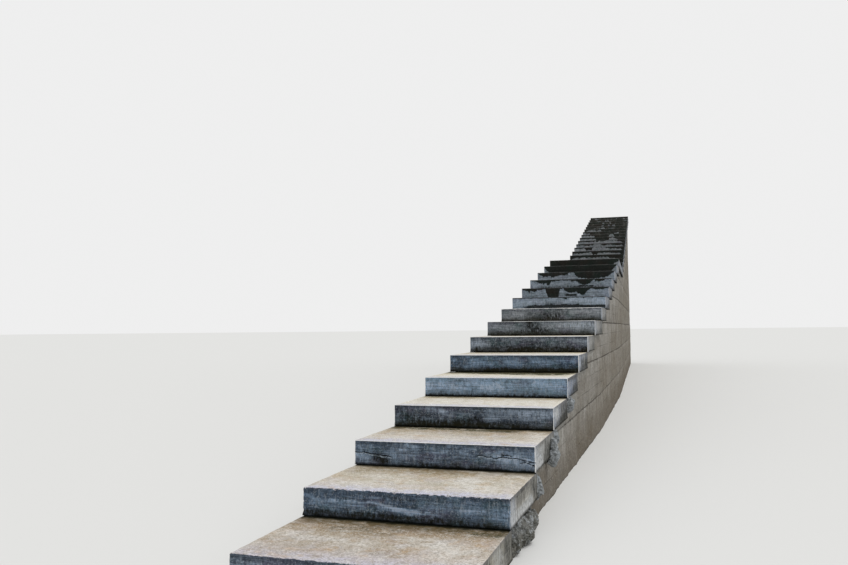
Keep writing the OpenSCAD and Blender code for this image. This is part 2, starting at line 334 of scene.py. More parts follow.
def blotch_mask(node, where, size_mm, start, end, detail=4.0, stretch=(1, 1, 1)):
    """Mask of soft-edged blotches of a real size: 0 where the noise is under start, 1 over end."""
    drawn = node(VECTORS, {0: where, 1: stretch}, "MULTIPLY")
    cloud = node(NOISE, {"Vector": drawn, "Scale": 1000 / size_mm, "Detail": detail, "Roughness": 0.6})
    return node(RANGE, {"Value": cloud, "From Min": start, "From Max": end}, interpolation_type="SMOOTHSTEP")


def fringe_mask(node, where, distance, full_mm, gone_mm, ragged_mm, size_mm):
    """Mask that is 1 up to one distance and 0 past another, its edge broken by noise."""
    cloud = node(NOISE, {"Vector": where, "Scale": 1000 / size_mm, "Detail": 5.0, "Roughness": 0.65})
    swing = node(MATH, {0: cloud, 1: ragged_mm / 500, 2: -ragged_mm / 1000}, "MULTIPLY_ADD")
    broken = node(MATH, {0: distance, 1: swing}, "ADD")
    return node(RANGE, {"Value": broken, "From Min": gone_mm / 1000, "From Max": full_mm / 1000},
                interpolation_type="SMOOTHSTEP")


def frayed(node, marks, clouds, reach, least):
    """A field of marks, made weaker and stronger by two noises: times least where their sum is 1 - reach, and
    times 2 - least where it is 1 + reach."""
    both = node(MATH, {0: clouds[0], 1: clouds[1]}, "ADD")
    swing = node(RANGE, {
        "Value": both, "From Min": 1 - reach, "From Max": 1 + reach, "To Min": least, "To Max": 2 - least})
    return node(MATH, {0: marks, 1: swing}, "MULTIPLY")


def coats(node, base, layers):
    """Colour built up coat over coat: each has its strength, its colour and its masks."""
    for amount, colour, *masks in layers:
        for mask in masks:
            amount = node(MATH, {0: mask, 1: amount}, "MULTIPLY")
        base = node(MIX, {"Factor": amount, "A": base, "B": colour}, data_type="RGBA")
    return base


def start_material(name):
    """An empty material, what adds its nodes, its Object coordinates, and the two masks laid out on them."""
    material = bpy.data.materials.new(name)
    node = partial(add, cleared(material))
    where = (node("ShaderNodeTexCoord"), "Object")
    return material, node, where, partial(blotch_mask, node, where), partial(fringe_mask, node, where)


def end_material(node, colour, roughness, height, height_mm):
    """Shader and bump from the finished colour, roughness and height."""
    bump = node("ShaderNodeBump", {"Strength": 1.0, "Distance": height_mm / 1000, "Height": height})
    shader = node("ShaderNodeBsdfPrincipled", {
        "Base Color": colour, "Roughness": roughness, "Normal": bump, "Specular IOR Level": 0.06})
    node("ShaderNodeOutputMaterial", {"Surface": shader})


def step_concrete():
    """Cast concrete, floated on top and formed against sawn boards on its front and ends: warm and sandy
    underfoot, with a pale worn nose under a painted highlight, painted skylight towards the nose, and dirt
    and painted shade at the back; blue-grey with painted open-sky shade, streaked and limed where formed."""
    material, node, where, blotches, fringe = start_material("floated_and_board_formed_concrete")
    place, spare, batch, state = (
        node(PARTS, {0: (node(ATTRIBUTE, attribute_name=name), "Vector")})
        for name in ("place", "spare", "batch", "state"))
    worn, water, lime, tread_wear_light_and_shade, crack = (
        (node(ATTRIBUTE, attribute_name=name), "Fac")
        for name in ("worn", "water", "lime", "tread_wear_light_and_shade", "crack"))
    facing = node(PARTS, {0: (node("ShaderNodeNewGeometry"), "True Normal")})
    from_nose, above_foot = (place, "Y"), (place, "Z")
    from_end, from_back, below_top = (spare, "X"), (spare, "Y"), (spare, "Z")
    formed_tone, floated_tone, shade_blue = (batch, "X"), (batch, "Y"), (batch, "Z")
    wear, end_shade_blue, damp_and_shaded_foot = (state, "X"), (state, "Y"), (state, "Z")
    mottle, broad, ragged, flaking, jag, grit, waves = (
        node(NOISE, {"Vector": where, "Scale": 1000 / size_mm, "Detail": detail, "Roughness": rough})
        for size_mm, detail, rough in (
            (26, 6.0, 0.7), (90, 6.0, 0.65), (48, 6.0, 0.65), (34, 4.0, 0.6), (9, 3.0, 0.5), (7, 3.0, 0.7),
            (38, 5.0, 0.5)))

    # Floated top: cooler and paler towards the nose with painted skylight, brown and at last black towards
    # the next riser with dirt and painted shade
    # Bleaching and dirt, with painted light towards the nose and painted shade towards the back
    marked = frayed(node, tread_wear_light_and_shade, (mottle, broad), 0.2, 0.2)
    bleached_and_lit, dirt_and_shade_patches, caked_dirt_and_shade = (
        node(RANGE, {"Value": marked, "From Min": none, "From Max": full})
        for none, full in ((0.1, 1.3), (-0.1, -1.3), (-0.9, -2.0)))
    patchy = blotches(300, 0.4, 0.54)
    # Pale front tints are painted skylight; brown back tints are dirt and painted shade
    dark_fleck, sky_lit_front, dirt_and_shade_back, sandy, sandy_pale, sandy_brown = (
        node(MIX, {"Factor": floated_tone, "A": dull, "B": bright}, data_type="RGBA")
        for dull, bright in (("#574b3e", "#a39c87"), ("#d2cbd2", "#f3f1ef"), ("#8d6c46", "#a18749"),
                             ("#9d8b79", "#e3dfcd"), ("#c8c2bb", "#f8f6ea"), ("#83674f", "#bcb698")))
    # How strong the dirt and painted shade at the back are: less on paler treads
    dirt_and_shade_reach = node(RANGE, {
        "Value": floated_tone, "From Min": 0.2, "From Max": 1.0, "To Min": 1.0, "To Max": 0.35})
    # Bluish painted skylight along the nose
    pale_cast = node(RANGE, {"Value": floated_tone, "From Min": 0.3, "From Max": 0.48})
    sky_lit_nose = node(MIX, {"Factor": pale_cast, "A": "#c9c8db", "B": "#c4cbec"}, data_type="RGBA")
    top = coats(node, sandy, [
        (0.45, sandy_pale, blotches(380, 0.42, 0.6)),
        (0.45, sandy_brown, blotches(170, 0.47, 0.66, 5.0, (0.8, 1.2, 1))),
        (0.4, "#bb9a76", blotches(260, 0.47, 0.58)),
        (0.38, "#cac7d0", blotches(170, 0.49, 0.6)),
        (0.6, sky_lit_front, fringe(from_nose, 10, 330, 260, 160)),
        (0.64, dirt_and_shade_back, fringe(from_back, 90, 430, 240, 150)),
        (0.75, "#ebe8e2", bleached_and_lit),
        (0.7, sky_lit_nose, fringe(from_nose, 0, 190, 90, 120)),
        (0.8, "#504b32", dirt_and_shade_patches),
        (0.46, sandy_brown, blotches(60, 0.46, 0.7)),
        (0.52, sandy_pale, blotches(44, 0.47, 0.7, 5.0)),
        (0.4, "#c3a47b", blotches(110, 0.57, 0.68)),
        (0.35, sandy_pale, fringe(from_end, 4, 50, 40, 60)),
        (0.42, "#f1ece5", blotches(21, 0.52, 0.68)),
        (0.46, dark_fleck, blotches(17, 0.5, 0.68)),
        (0.48, dark_fleck, blotches(9, 0.46, 0.66)),
        (0.55, "#f6f2ec", blotches(7, 0.5, 0.7, 3.0)),
        (0.22, "#554b40", blotches(4, 0.48, 0.66, 2.0)),
        (0.88, "#41412a", caked_dirt_and_shade),
        # Brown, then black towards the next riser: dirt and painted shade
        (0.95, "#574a2e", fringe(from_back, 30, 190, 150, 90), patchy, dirt_and_shade_reach),
        (1.0, "#181a0e", fringe(from_back, 8, 60, 50, 50), dirt_and_shade_reach),
        (0.9, "#14160b", fringe(from_back, 4, 30, 20, 40)),
    ])

    # Formed faces, blue-grey with painted open-sky shade: water has run down them, lime has come out half way
    # up, and their foot is dark with damp and painted shade
    dark, pale, bloom = (
        node(MIX, {"Factor": shade_blue, "A": grey, "B": bluer}, data_type="RGBA")
        for grey, bluer in (("#3c3e3f", "#2b384c"), ("#989b9d", "#88a3bf"), ("#b9babc", "#9cb8d7")))
    grime = node(MIX, {"Factor": formed_tone, "A": "#1d2227", "B": "#434b50"}, data_type="RGBA")
    face = node(MIX, {"Factor": formed_tone, "A": dark, "B": pale}, data_type="RGBA")
    # Dark foot of a face: damp and painted shade, and along its lowest edge a line of dirt and painted shadow
    foot_shade_and_damp = fringe(above_foot, 14, 64, 40, 90)
    foot_shade_and_damp = node(MATH, {0: foot_shade_and_damp, 1: damp_and_shaded_foot}, "MULTIPLY")
    foot_shadow_line = fringe(above_foot, 3, 20, 14, 60)
    top_band = fringe(below_top, 6, 34, 30, 60)
    dark_tone = node(MATH, {0: 1.0, 1: formed_tone}, "SUBTRACT")
    runs = node(VECTORS, {0: where, 1: (1, 1, 0.28)}, "MULTIPLY")
    runs = node(NOISE, {"Vector": runs, "Scale": 1000 / 13, "Detail": 4.0, "Roughness": 0.6})
    streaked = frayed(node, lime, (mottle, runs), 0.22, 0.15)
    # Lime, and dark damp that is painted shade as well along the foot, from the strokes
    limed, fresh_lime, damp_patches_and_shade, uncovered = (
        node(RANGE, {"Value": streaked, "From Min": none, "From Max": full})
        for none, full in ((0.1, 1.25), (1.15, 2.4), (-0.1, -1.05), (2.6, 1.9)))
    board_grain = blotches(21, 0.48, 0.62, 4.0, (0.15, 0.15, 1.9))
    pale_grain = blotches(15, 0.53, 0.66, 4.0, (0.13, 0.13, 1.8))
    face = coats(node, face, [
        (0.5, dark, blotches(260, 0.44, 0.6, 6.0, (1, 1, 1.3)), dark_tone),
        (0.4, "#456462", blotches(150, 0.47, 0.63, 4.0, (1, 1, 1.6))),
        (0.44, "#6b627a", blotches(190, 0.49, 0.64, 3.0, (0.7, 0.7, 1.4))),
        (0.45, "#484630", blotches(130, 0.52, 0.68), fringe(above_foot, 30, 100, 60, 80)),
        (0.3, bloom, blotches(95, 0.48, 0.66, 6.0, (1, 1, 1.3))),
        (0.85, bloom, limed),
        (0.34, bloom, blotches(38, 0.48, 0.66, 7.0)),
        (0.52, grime, blotches(26, 0.48, 0.64, 6.0)),
        (0.42, grime, board_grain),
        (0.36, bloom, pale_grain),
        (0.32, grime, blotches(12, 0.46, 0.7, 4.0, (1, 1, 0.25))),
        (0.3, "#bac2cb", blotches(13, 0.52, 0.7, 4.0, (1, 1, 0.22))),
        (0.36, grime, blotches(6, 0.46, 0.66, 3.0)),
        (0.42, "#c8d0d8", blotches(8, 0.54, 0.7, 3.0)),
        (0.75, "#262b33", top_band, dark_tone),
        (0.62, "#bccbe0", fresh_lime),
        (0.9, "#171812", damp_patches_and_shade),
        (0.66, "#2c2917", foot_shade_and_damp),
        (0.94, "#0d0e07", foot_shadow_line),
    ])

    # End faces are drier: warm at the foot of the stair, bluer with painted open-sky shade further up and
    # towards the nose, darker towards the back, and stained under a line that climbs gently towards the back,
    # with a painted shadow along that line
    sideways = node(MATH, {0: (facing, "X")}, "ABSOLUTE")
    on_end = node(RANGE, {"Value": sideways, "From Min": 0.55, "From Max": 0.85})
    over_line = node(MATH, {0: from_nose, 1: -0.07, 2: above_foot}, "MULTIPLY_ADD")
    stain_and_shadow = node(RANGE, {"Value": end_shade_blue, "From Min": 0.1, "From Max": 0.5, "To Min": 0.15})
    unlimed = node(MATH, {0: 1.0, 1: limed}, "SUBTRACT")
    stain_and_shadow = node(MATH, {0: stain_and_shadow, 1: unlimed}, "MULTIPLY")
    end_face = node(MIX, {"Factor": end_shade_blue, "A": "#a6a297", "B": "#808da5"}, data_type="RGBA")
    end_face = coats(node, end_face, [
        (0.45, "#6f6e69", blotches(160, 0.44, 0.64, 6.0)),
        (0.48, "#bfbeb9", blotches(70, 0.5, 0.68, 6.0, (1, 1, 0.5))),
        (0.5, "#adb8cc", fringe(from_nose, 20, 240, 160, 120)),
        (0.5, "#585957", fringe(from_back, 60, 330, 220, 130)),
        (0.76, "#cccfd1", limed),
        (0.86, "#292b2b", damp_patches_and_shade),
        (0.44, "#4b4a45", blotches(22, 0.48, 0.64, 6.0)),
        (0.1, "#53524d", board_grain),
        (0.12, "#c4c4c1", pale_grain),
        (0.34, "#4b4a44", blotches(20, 0.46, 0.62, 4.0, (1, 1, 0.1))),
        (0.34, "#c9c9c3", blotches(24, 0.5, 0.64, 4.0, (1, 1, 0.1))),
        (0.28, "#44433e", blotches(6, 0.46, 0.68, 3.0)),
        (0.4, "#625f62", top_band),
        # A dark band along the line is painted shadow; further below it lies a brown stain
        (0.62, "#2b2a24", fringe(over_line, 0, 46, 70, 80), stain_and_shadow),
        (0.75, "#625a4c", fringe(over_line, -70, -20, 60, 90), stain_and_shadow),
        (0.8, "#26241d", foot_shadow_line),
    ])
    face = node(MIX, {"Factor": on_end, "A": face, "B": end_face}, data_type="RGBA")

    # The float's finish ends at the arris, raggedly where the nose is worn
    long_run = node(VECTORS, {0: where, 1: (0.55, 1, 1)}, "MULTIPLY")
    tilt = node(NOISE, {"Vector": long_run, "Scale": 1000 / 26, "Detail": 5.0, "Roughness": 0.7})
    tilt = node(MATH, {0: tilt, 1: 0.08, 2: -0.043}, "MULTIPLY_ADD")
    tilt = node(MATH, {0: tilt, 1: wear}, "MULTIPLY")
    past_front = node(MATH, {0: from_nose, 1: below_top}, "SUBTRACT")
    past_front = node(MATH, {0: past_front, 1: tilt}, "ADD")
    past_end = node(MATH, {0: from_end, 1: below_top}, "SUBTRACT")
    past_end = node(MATH, {0: tilt, 1: 0.2, 2: past_end}, "MULTIPLY_ADD")
    past_edge = node(MATH, {0: past_front, 1: past_end}, "MINIMUM")
    inside_edge = node(RANGE, {"Value": past_edge, "From Min": -0.0015, "From Max": 0.0015})
    level_part = node(RANGE, {"Value": (facing, "Z"), "From Min": 0.2, "From Max": 0.35})
    on_top = node(MATH, {0: inside_edge, 1: level_part}, "MULTIPLY")
    colour = node(MIX, {"Factor": on_top, "A": face, "B": top}, data_type="RGBA")

    # Worn corners show the pale mortar with a painted highlight, pits and cracks hold shadow, and a black
    # film grows where water runs
    under = node(MATH, {0: 1.0, 1: on_top}, "SUBTRACT")
    pits = node("ShaderNodeTexVoronoi", {"Vector": where, "Scale": 1000 / 36, "Randomness": 1.0})
    pit_size = node(PARTS, {0: (pits, "Color")})
    pit_size = node(RANGE, {"Value": (pit_size, "X"), "From Min": 0.55, "From Max": 1.0, "To Max": 0.1})
    pit = node(MATH, {0: pit_size, 1: (pits, "Distance")}, "SUBTRACT")
    pit = node(RANGE, {"Value": pit, "From Min": 0.0, "From Max": 0.03})
    pit = node(MATH, {0: pit, 1: under}, "MULTIPLY")
    swing = node(MATH, {0: ragged, 1: 0.11, 2: -0.055}, "MULTIPLY_ADD")
    covered = node(MATH, {0: water, 1: swing}, "ADD")
    black = node(RANGE, {"Value": covered, "From Min": -0.004, "From Max": 0.004})
    damp_tread = node(RANGE, {"Value": covered, "From Min": -0.03, "From Max": 0.04})
    parts = node(PARTS, {0: where})
    drier = node(RANGE, {"Value": (parts, "Z"), "From Min": 3.2, "From Max": 4.2})
    film = node(MIX, {"Factor": drier, "A": "#191c18", "B": "#31332e"}, data_type="RGBA")
    film = coats(node, film, [
        (0.55, "#6c6d69", blotches(90, 0.5, 0.66, 5.0), drier),
        (0.35, "#2b2119", blotches(230, 0.49, 0.6)),
        (0.6, "#17241d", blotches(170, 0.48, 0.6)),
        (0.3, "#42423f", blotches(34, 0.56, 0.68, 5.0, (1, 1, 0.3))),
        (0.36, "#585958", blotches(14, 0.6, 0.7)),
    ])
    bare_and_lit_nose = node(MATH, {0: worn, 1: flaking}, "ADD")
    bare_and_lit_nose = node(RANGE, {"Value": bare_and_lit_nose, "From Min": 0.84, "From Max": 1.12})
    jag = node(MATH, {0: jag, 1: 0.012, 2: -0.006}, "MULTIPLY_ADD")
    off_crack = node(MATH, {0: crack, 1: jag}, "ADD")
    crack_gap = node(MATH, {0: off_crack}, "ABSOLUTE")
    crack_gap = node(MATH, {0: mottle, 1: -0.01, 2: crack_gap}, "MULTIPLY_ADD")
    open_crack = node(RANGE, {"Value": crack_gap, "From Min": -0.0006, "From Max": -0.0034})
    lip = node(RANGE, {"Value": off_crack, "From Min": -0.014, "From Max": -0.006})
    lip_end = node(RANGE, {"Value": off_crack, "From Min": 0.0, "From Max": -0.004})
    colour = coats(node, colour, [
        (0.95, "#e2e2e1", bare_and_lit_nose),
        (0.8, "#b4c3d2", lip, lip_end, under, blotches(20, 0.4, 0.55)),
        (0.92, "#121416", open_crack, under),
        (0.75, "#191d21", pit),
        (0.8, "#3b3933", damp_tread, on_top),
        (0.97, film, black, under, uncovered),
    ])

    height = node(MATH, {0: waves, 1: 1.5, 2: grit}, "MULTIPLY_ADD")
    ridges = node(MATH, {0: board_grain, 1: under}, "MULTIPLY")
    height = node(MATH, {0: ridges, 1: -0.35, 2: height}, "MULTIPLY_ADD")
    height = node(MATH, {0: pit, 1: -1.6, 2: height}, "MULTIPLY_ADD")
    height = node(MATH, {0: open_crack, 1: -1.2, 2: height}, "MULTIPLY_ADD")
    rough = node(RANGE, {"Value": black, "To Min": 0.92, "To Max": 0.7})
    end_material(node, colour, rough, height, 2.6)
    return material


def wall_concrete():
    """Concrete poured in lifts against rough boards: grey and uneven, with faint board seams, dark joints
    between the lifts, pale weeps under them and brown stains low down."""
    material, node, where, blotches, fringe = start_material("rough_shuttered_concrete")
    drop = (node(ATTRIBUTE, attribute_name="drop"), "Fac")
    parts = node(PARTS, {0: where})
    board = node(MATH, {0: (parts, "Z"), 1: SHUTTER_BOARD}, "DIVIDE")
    open_seam = blotches(420, 0.44, 0.58, 4.0, (0.3, 0.3, 1))
    ragged = node(NOISE, {"Vector": where, "Scale": 1000 / 90, "Detail": 5.0, "Roughness": 0.65})
    joint_level = node(MATH, {0: ragged, 1: 0.03, 2: (parts, "Z")}, "MULTIPLY_ADD")
    joint_level = node(MATH, {0: joint_level, 1: 0.015}, "SUBTRACT")
    joint_level = node(MATH, {0: joint_level, 1: LIFT}, "DIVIDE")
    over_seam, over_joint = (node(MATH, {0: count}, "FRACT") for count in (board, joint_level))
    off_seam, off_joint = (node(MATH, {0: over, 1: 0.5}, "SUBTRACT") for over in (over_seam, over_joint))
    seam, joint = (
        node(RANGE, {"Value": node(MATH, {0: off}, "ABSOLUTE"), "From Min": 0.47, "From Max": full})
        for off, full in ((off_seam, 0.497), (off_joint, 0.494)))
    weep = node(RANGE, {"Value": over_joint, "From Min": 0.55, "From Max": 0.98})
    bleeding = node(RANGE, {"Value": over_joint, "From Min": 0.22, "From Max": 0.0})
    along_boards = node(VECTORS, {0: where, 1: (0.5, 0.35, 7.0)}, "MULTIPLY")
    grain = node(NOISE, {"Vector": along_boards, "Scale": 1.0, "Detail": 4.0, "Roughness": 0.6})
    dark_grain = node(RANGE, {"Value": grain, "From Min": 0.46, "From Max": 0.68})
    colour = coats(node, "#96938d", [
        (0.55, "#746c5f", blotches(1300, 0.42, 0.6, 5.0, (1, 1, 1.6))),
        (0.35, "#6b6862", dark_grain),
        (0.45, "#716c64", blotches(420, 0.44, 0.64, 6.0)),
        (0.45, "#aeaca7", blotches(150, 0.48, 0.68, 7.0)),
        (0.4, "#6e6453", fringe(drop, 900, 150, 400, 300)),
        (0.5, "#5f5b53", bleeding, blotches(210, 0.46, 0.62, 5.0)),
        (0.3, "#55514a", blotches(50, 0.5, 0.72, 5.0, (1, 1, 0.12))),
        (0.55, "#bcbab4", weep, blotches(110, 0.5, 0.64, 5.0, (1, 1, 0.25))),
        (0.45, "#a9a9a5", fringe(drop, 15, 95, 110, 80)),
        (0.5, "#5f5547", fringe((parts, "Z"), 60, 420, 350, 200)),
        (0.5, "#46423b", seam, open_seam),
        (0.7, "#37332d", joint, blotches(330, 0.34, 0.5, 4.0, (0.4, 0.4, 1))),
        (0.42, "#4c4842", blotches(26, 0.5, 0.66, 6.0)),
        (0.34, "#bab8b2", blotches(18, 0.54, 0.68, 5.0)),
        (0.28, "#413e38", blotches(8, 0.5, 0.68, 3.0)),
    ])
    stones = node("ShaderNodeTexVoronoi", {"Vector": where, "Scale": 1000 / 26, "Randomness": 1.0})
    lumps = node(NOISE, {"Vector": where, "Scale": 1000 / 60, "Detail": 6.0, "Roughness": 0.65})
    height = node(MATH, {0: lumps, 1: 3.0, 2: (stones, "Distance")}, "MULTIPLY_ADD")
    cut = node(MATH, {0: seam, 1: open_seam}, "MULTIPLY")
    height = node(MATH, {0: cut, 1: -0.8, 2: height}, "MULTIPLY_ADD")
    end_material(node, colour, 0.93, height, 5.0)
    return material


def spill_concrete():
    """Concrete that ran out under the forms and set as it lay: coarse and grey, with stones and hollows
    darkened by painted shade, brown and darker towards their foot."""
    material, node, where, blotches, fringe = start_material("slumped_coarse_concrete")
    stones = node("ShaderNodeTexVoronoi", {"Vector": where, "Scale": 1000 / 17, "Randomness": 1.0})
    # Painted shade in the hollows between the stones
    hollow_shade = node(RANGE, {"Value": (stones, "Distance"), "From Min": 0.4, "From Max": 0.74})
    parts = node(PARTS, {0: where})
    colour = coats(node, "#a4a9ad", [
        (0.8, "#605b4d", fringe((parts, "Z"), 60, 230, 120, 90)),
        (0.45, "#55564f", blotches(60, 0.45, 0.64, 6.0)),
        (0.62, "#c4cacf", blotches(34, 0.5, 0.66, 6.0)),
        (0.45, "#2b2b25", hollow_shade),
        (0.5, "#26261f", blotches(13, 0.5, 0.66)),
        (0.45, "#b9bbb8", blotches(9, 0.56, 0.68, 3.0)),
    ])
    lumps = node(NOISE, {"Vector": where, "Scale": 1000 / 20, "Detail": 6.0, "Roughness": 0.7})
    height = node(MATH, {0: lumps, 1: 2.0, 2: (stones, "Distance")}, "MULTIPLY_ADD")
    end_material(node, colour, 0.95, height, 6.0)
    return material


# One cast block, as a tree that every step and landing slab is made with

BLOCK_INPUTS = {
    "Size": "NodeSocketVector",
    "Columns": "NodeSocketInt",
    "Rows Back": "NodeSocketInt",
    "Rows Up": "NodeSocketInt",
    "Arris": "NodeSocketFloat",
    "Hidden Back": "NodeSocketFloat",
    "Tones": "NodeSocketVector",
    "State": "NodeSocketVector",
    "Seed": "NodeSocketFloat",
    "Bed Turn": "NodeSocketFloat",
    "Seat": "NodeSocketFloat",
    "Nose": "NodeSocketVector",
    "Heading": "NodeSocketFloat",
    "Concrete": "NodeSocketMaterial",
}


def cast_block_tree():
    """A box with its nose at y = 0: its rows crowd towards its edges and its board line, its edges are worn
    round and chipped, its faces are a little uneven, and it is turned on its bed and set on the path."""
    tree = bpy.data.node_groups.new("cast_block", "GeometryNodeTree")
    for name, kind in BLOCK_INPUTS.items():
        tree.interface.new_socket(name, in_out="INPUT", socket_type=kind)
    tree.interface.new_socket("Block", in_out="OUTPUT", socket_type="NodeSocketGeometry")
    node = partial(add, tree)
    given = node("NodeGroupInput")
    wear = (node(PARTS, {0: (given, "State")}), "X")
    box = node("GeometryNodeMeshCube", {
        "Size": (2, 2, 2), "Vertices X": (given, "Columns"), "Vertices Y": (given, "Rows Back"),
        "Vertices Z": (given, "Rows Up")})

    # Rows from -1 to 1, crowded at the edges, and half way up as well, where the board line is
    even = node("GeometryNodeInputPosition")
    crowd_x, crowd_y, crowd_z = 0.7, 0.93, 0.82
    phase = node(VECTORS, {0: even, 1: (math.pi / 2, math.pi / 2, 2 * math.pi)}, "MULTIPLY")
    bend = node(VECTORS, {0: phase}, "SINE")
    pull = node(VECTORS, {0: bend, 1: (crowd_x, crowd_y, -crowd_z / (2 * math.pi))}, "MULTIPLY")
    crowded = node(VECTORS, {0: even, 1: (1 - crowd_x, 1 - crowd_y, 1), 2: pull}, "MULTIPLY_ADD")
    half = node(VECTORS, {0: (given, "Size"), 1: (0.5, 0.5, 0.5)}, "MULTIPLY")
    centre = node(VECTORS, {0: half, 1: (0, 1, 1)}, "MULTIPLY")
    spot = node(VECTORS, {0: crowded, 1: half, 2: centre}, "MULTIPLY_ADD")
    part = node(PARTS, {0: spot})

    # Each block has its own stretch of the noise
    own = node(VECTORS, {0: (3.1, 7.7, 1.3), "Scale": (given, "Seed")}, "SCALE")
    where = node(VECTORS, {0: spot, 1: own}, "ADD")
    chip_noise, nick_noise, uneven, wave, ripple, crumb, open_noise = (
        node(NOISE, {"Vector": where, "Scale": 1000 / size_mm, "Detail": detail, "Roughness": rough})
        for size_mm, detail, rough in (
            (34, 3.0, 0.6), (15, 2.0, 0.6), (90, 2.0, 0.5), (300, 3.0, 0.5), (45, 2.0, 0.5), (13, 2.0, 0.5),
            (160, 3.0, 0.5)))

    # Radius of the edge: small at the foot, uneven along the nose, and wide where a chip is out
    chip = node(RANGE, {"Value": chip_noise, "From Min": 0.56, "From Max": 0.7, "To Max": 0.016})
    nick = node(RANGE, {"Value": nick_noise, "From Min": 0.46, "From Max": 0.66, "To Max": 0.009})
    chip = node(MATH, {0: chip, 1: nick}, "ADD")
    by_nose = node(RANGE, {
        "Value": (part, "Y"), "From Min": 0.02, "From Max": 0.06, "To Min": 1.0, "To Max": 0.25})
    wear = node(MATH, {0: wear, 1: by_nose}, "MULTIPLY")
    chip = node(MATH, {0: chip, 1: wear}, "MULTIPLY")
    uneven = node(RANGE, {"Value": uneven, "From Min": 0.3, "From Max": 0.7, "To Min": 0.6, "To Max": 1.3})
    edge = node(MATH, {0: uneven, 1: (given, "Arris"), 2: chip}, "MULTIPLY_ADD")
    off_foot = node(RANGE, {"Value": (part, "Z"), "From Min": 0.004, "From Max": 0.03, "To Min": 0.15})
    edge = node(MATH, {0: edge, 1: off_foot, 2: 0.001}, "MULTIPLY_ADD")

    # Nearest point of the core that the rounding leaves, and the way out from it
    low_core = node(VECTORS, {0: half, 1: (-1, 0, 0), 2: edge}, "MULTIPLY_ADD")
    size_end = node(VECTORS, {0: (given, "Size"), 1: (0.5, 1, 1)}, "MULTIPLY")
    high_core = node(VECTORS, {0: size_end, 1: edge}, "SUBTRACT")
    core = node(VECTORS, {0: spot, 1: low_core}, "MAXIMUM")
    core = node(VECTORS, {0: core, 1: high_core}, "MINIMUM")
    out = node(VECTORS, {0: spot, 1: core}, "SUBTRACT")
    out = node(VECTORS, {0: out}, "NORMALIZE")
    facing = node(PARTS, {0: out})

    # Unevenness of the cast faces, always inwards, and none on the bed
    sink = node(MATH, {0: wave, 1: 0.004}, "MULTIPLY")
    sink = node(MATH, {0: ripple, 1: 0.0014, 2: sink}, "MULTIPLY_ADD")
    steepest = node(VECTORS, {0: out}, "ABSOLUTE")
    steepest = node(PARTS, {0: steepest})
    largest = node(MATH, {0: (steepest, "X"), 1: (steepest, "Y")}, "MAXIMUM")
    largest = node(MATH, {0: largest, 1: (steepest, "Z")}, "MAXIMUM")
    rounded = node(RANGE, {"Value": largest, "From Min": 1.0, "From Max": 0.8})
    crumbling = node(MATH, {0: crumb, 1: rounded}, "MULTIPLY")
    crumbling = node(MATH, {0: crumbling, 1: wear}, "MULTIPLY")
    sink = node(MATH, {0: crumbling, 1: 0.007, 2: sink}, "MULTIPLY_ADD")

    # Line between two form boards, open here and closed there
    off_line = node(MATH, {0: (part, "Z"), 1: BOARD_LINE}, "SUBTRACT")
    off_line = node(MATH, {0: off_line}, "ABSOLUTE")
    line = node(RANGE, {"Value": off_line, "From Min": 0.0035, "From Max": 0.0005, "To Max": 0.0028})
    upright = node(RANGE, {"Value": (steepest, "Z"), "From Min": 0.5, "From Max": 0.2})
    open_line = node(RANGE, {"Value": open_noise, "From Min": 0.48, "From Max": 0.6, "To Min": 0.05})
    line = node(MATH, {0: line, 1: upright}, "MULTIPLY")
    sink = node(MATH, {0: line, 1: open_line, 2: sink}, "MULTIPLY_ADD")
    clear_of_bed = node(RANGE, {"Value": (part, "Z"), "From Min": 0.0, "From Max": 0.03})
    sink = node(MATH, {0: sink, 1: clear_of_bed}, "MULTIPLY")
    off_bed = node(RANGE, {"Value": (facing, "Z"), "From Min": 0.0, "From Max": 0.1})
    level_sink = node(MATH, {0: sink, 1: off_bed}, "MULTIPLY")
    reach = node(MATH, {0: edge, 1: sink}, "SUBTRACT")
    level_reach = node(MATH, {0: edge, 1: level_sink}, "SUBTRACT")
    reach = node(JOINED, {"X": reach, "Y": reach, "Z": level_reach})
    skin = node(VECTORS, {0: out, 1: reach, 2: core}, "MULTIPLY_ADD")
    cast = node("GeometryNodeSetPosition", {"Geometry": box, "Position": skin})

    # What the material reads: the place on the block, what is left of it each way, its wear and its tones
    settled = node("GeometryNodeInputPosition")
    folded = node(VECTORS, {0: settled}, "ABSOLUTE")
    left = node(VECTORS, {0: size_end, 1: folded}, "SUBTRACT")
    hidden = node(JOINED, {"Y": (given, "Hidden Back")})
    left = node(VECTORS, {0: left, 1: hidden}, "SUBTRACT")
    tones, state = (given, "Tones"), (given, "State")
    for name, value in (("place", settled), ("spare", left), ("batch", tones), ("state", state)):
        cast = node("GeometryNodeStoreNamedAttribute", {"Geometry": cast, "Name": name, "Value": value},
                    data_type="FLOAT_VECTOR")

    bed, seat, ahead = (node(JOINED, {"Z": (given, name)}) for name in ("Bed Turn", "Seat", "Heading"))
    cast = node("GeometryNodeTransform", {"Geometry": cast, "Rotation": bed, "Translation": seat})
    nose = (given, "Nose")
    cast = node("GeometryNodeTransform", {"Geometry": cast, "Rotation": ahead, "Translation": nose})
    cast = node("GeometryNodeSetShadeSmooth", {"Geometry": cast, "Shade Smooth": True})
    cast = node("GeometryNodeRealizeInstances", {"Geometry": cast})
    cast = node("GeometryNodeSetMaterial", {"Geometry": cast, "Material": (given, "Concrete")})
    node("NodeGroupOutput", {"Block": cast})
    return tree


def placed(name, data):
    """An object with this mesh, light or camera, in the scene."""
    made = bpy.data.objects.new(name, data)
    bpy.context.scene.collection.objects.link(made)
    return made


